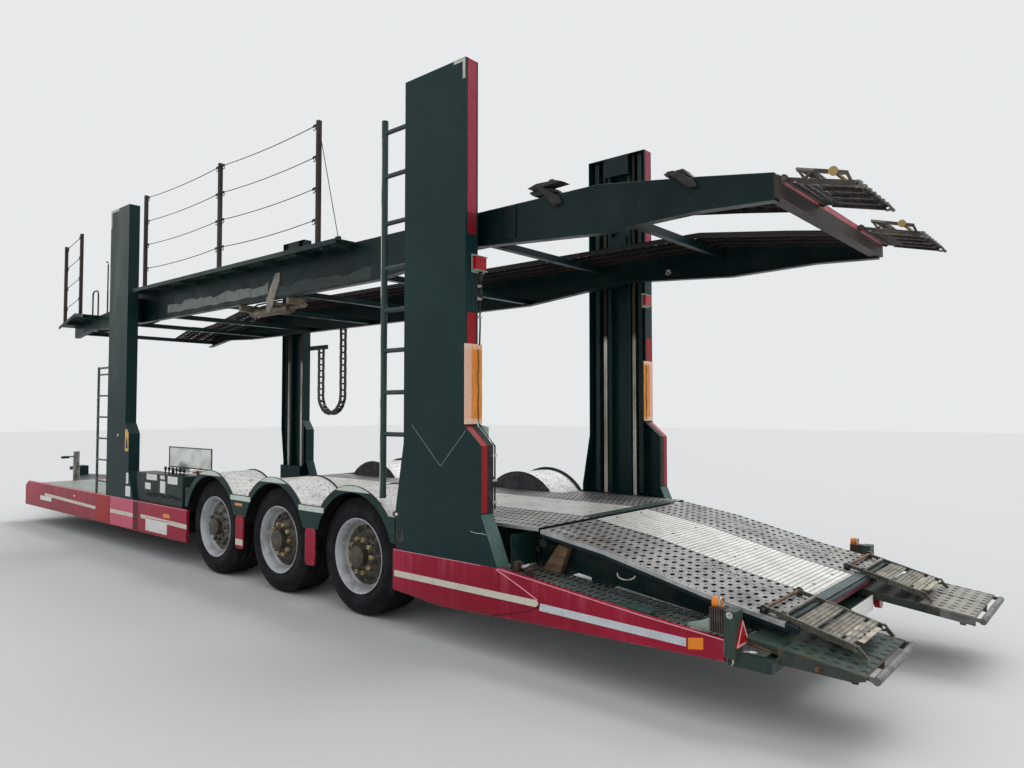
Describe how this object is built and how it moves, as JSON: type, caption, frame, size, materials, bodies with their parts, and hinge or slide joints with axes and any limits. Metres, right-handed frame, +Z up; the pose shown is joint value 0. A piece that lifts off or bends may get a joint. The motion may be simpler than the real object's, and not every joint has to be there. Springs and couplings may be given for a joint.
{
  "type": "three-axle drawbar car transporter trailer",
  "caption": "Three-axle drawbar car transporter trailer with a lifting upper deck on four posts, red skirts and low loading ramps.",
  "frame": {"origin": "on the ground, under the middle of the trailer's whole length and width", "axes": "+X forwards to the towing eye, +Y to the trailer's left, +Z up"},
  "size_m": [13.8985, 2.55, 4.1891],
  "materials": {
    "green_paint": "satin, weathered",
    "red_paint": "satin, faded",
    "galvanised_steel": "dull zinc coat",
    "forged_steel": "greased",
    "bright_rod": "polished",
    "rubber": "matt",
    "tyre_rubber": "matt",
    "wheel_steel": "dusty silver paint",
    "black_plastic": "moulded",
    "clear_sheet": "see-through sheet",
    "aluminium": "mill finish",
    "red_lens": "moulded lens",
    "amber_lens": "moulded lens"
  },
  "bodies": {
    "root": {"air_bags": "rubber", "air_tanks": "green_paint", "amber_lamps": "amber_lens", "axle_deck": "galvanised_steel", "axles": "green_paint", "centre_strip": "aluminium", "chassis_beams": "green_paint", "chassis_cross_members": "green_paint", "drawbar": "green_paint", "energy_chain": "black_plastic", "front_floor": "green_paint", "ladders": "green_paint", "lift_rods": "bright_rod", "parking_jack": "green_paint", "platform_hinge_tube": "green_paint", "posts_front": "green_paint", "posts_rear": "green_paint", "ramp_channels": "green_paint", "red_lamps": "red_lens", "side_panels": "green_paint", "side_tracks": "galvanised_steel", "skirts": "red_paint", "suspension_arms": "green_paint", "tail_bar": "red_paint", "towing_eye": "forged_steel", "valve_box": "green_paint", "wheel_arches": "green_paint"},
    "wheel_rear_left": {"tyre_rear_left": "tyre_rubber", "rim_rear_left": "wheel_steel"},
    "wheel_rear_right": {"tyre_rear_right": "tyre_rubber", "rim_rear_right": "wheel_steel"},
    "wheel_middle_left": {"tyre_middle_left": "tyre_rubber", "rim_middle_left": "wheel_steel"},
    "wheel_middle_right": {"tyre_middle_right": "tyre_rubber", "rim_middle_right": "wheel_steel"},
    "wheel_front_left": {"tyre_front_left": "tyre_rubber", "rim_front_left": "wheel_steel"},
    "wheel_front_right": {"tyre_front_right": "tyre_rubber", "rim_front_right": "wheel_steel"},
    "upper_deck": {"upper_beams": "green_paint", "upper_cross_members": "green_paint", "upper_tracks": "galvanised_steel", "deck_carriers": "green_paint", "walkway": "galvanised_steel", "fence_posts": "green_paint", "fence_ropes": "galvanised_steel", "upper_ramp_ears": "green_paint", "deck_cylinder": "green_paint"},
    "platform": {"platform_frame": "green_paint", "platform_plates": "galvanised_steel", "platform_strip": "aluminium"},
    "valve_cover": {"valve_cover": "clear_sheet"},
    "low_ramp_left": {"low_ramp_left": "galvanised_steel"},
    "deck_flap_left": {"deck_flap_left": "galvanised_steel"},
    "upper_ramp_left": {"upper_ramp_left": "galvanised_steel"},
    "low_ramp_right": {"low_ramp_right": "galvanised_steel"},
    "deck_flap_right": {"deck_flap_right": "galvanised_steel"},
    "upper_ramp_right": {"upper_ramp_right": "galvanised_steel"}
  },
  "joints": [
    {"name": "wheel_rear_left_turn", "type": "hinge", "parent": "root", "child": "wheel_rear_left", "pos_m": [-2.892, 1.033, 0.473], "axis": [0, 1, 0], "continuous": true},
    {"name": "wheel_rear_right_turn", "type": "hinge", "parent": "root", "child": "wheel_rear_right", "pos_m": [-2.892, -1.033, 0.473], "axis": [0, 1, 0], "continuous": true},
    {"name": "wheel_middle_left_turn", "type": "hinge", "parent": "root", "child": "wheel_middle_left", "pos_m": [-1.732, 1.033, 0.473], "axis": [0, 1, 0], "continuous": true},
    {"name": "wheel_middle_right_turn", "type": "hinge", "parent": "root", "child": "wheel_middle_right", "pos_m": [-1.732, -1.033, 0.473], "axis": [0, 1, 0], "continuous": true},
    {"name": "wheel_front_left_turn", "type": "hinge", "parent": "root", "child": "wheel_front_left", "pos_m": [-0.572, 1.033, 0.473], "axis": [0, 1, 0], "continuous": true},
    {"name": "wheel_front_right_turn", "type": "hinge", "parent": "root", "child": "wheel_front_right", "pos_m": [-0.572, -1.033, 0.473], "axis": [0, 1, 0], "continuous": true},
    {"name": "upper_deck_lift", "type": "slide", "parent": "root", "child": "upper_deck", "axis": [0, 0, 1], "range_m": [-1.15, 0.65], "deforming": ["energy_chain"]},
    {"name": "platform_tilt", "type": "hinge", "parent": "root", "child": "platform", "pos_m": [-4.64, 0, 0.755], "axis": [0, 1, 0], "range_deg": [0, 8]},
    {"name": "valve_cover_hinge", "type": "hinge", "parent": "root", "child": "valve_cover", "pos_m": [0.45, 1.0404, 0.97], "axis": [-1, 0, 0], "range_deg": [0, 60]},
    {"name": "low_ramp_left_slide", "type": "slide", "parent": "root", "child": "low_ramp_left", "axis": [-0.9925, 0, -0.1219], "range_m": [0, 1.1]},
    {"name": "low_ramp_right_slide", "type": "slide", "parent": "root", "child": "low_ramp_right", "axis": [-0.9925, 0, -0.1219], "range_m": [-0.2, 0.9]},
    {"name": "deck_flap_left_hinge", "type": "hinge", "parent": "platform", "child": "deck_flap_left", "pos_m": [-6.13, 0.725, 0.57108], "axis": [0, 1, 0], "range_deg": [0, 150]},
    {"name": "upper_ramp_left_hinge", "type": "hinge", "parent": "upper_deck", "child": "upper_ramp_left", "pos_m": [-6.278, 0.71, 2.88], "axis": [0, 1, 0], "range_deg": [-25, 95]},
    {"name": "deck_flap_right_hinge", "type": "hinge", "parent": "platform", "child": "deck_flap_right", "pos_m": [-6.13, -0.725, 0.57108], "axis": [0, 1, 0], "range_deg": [0, 150]},
    {"name": "upper_ramp_right_hinge", "type": "hinge", "parent": "upper_deck", "child": "upper_ramp_right", "pos_m": [-6.278, -0.71, 2.88], "axis": [0, 1, 0], "range_deg": [-25, 95]}
  ]
}
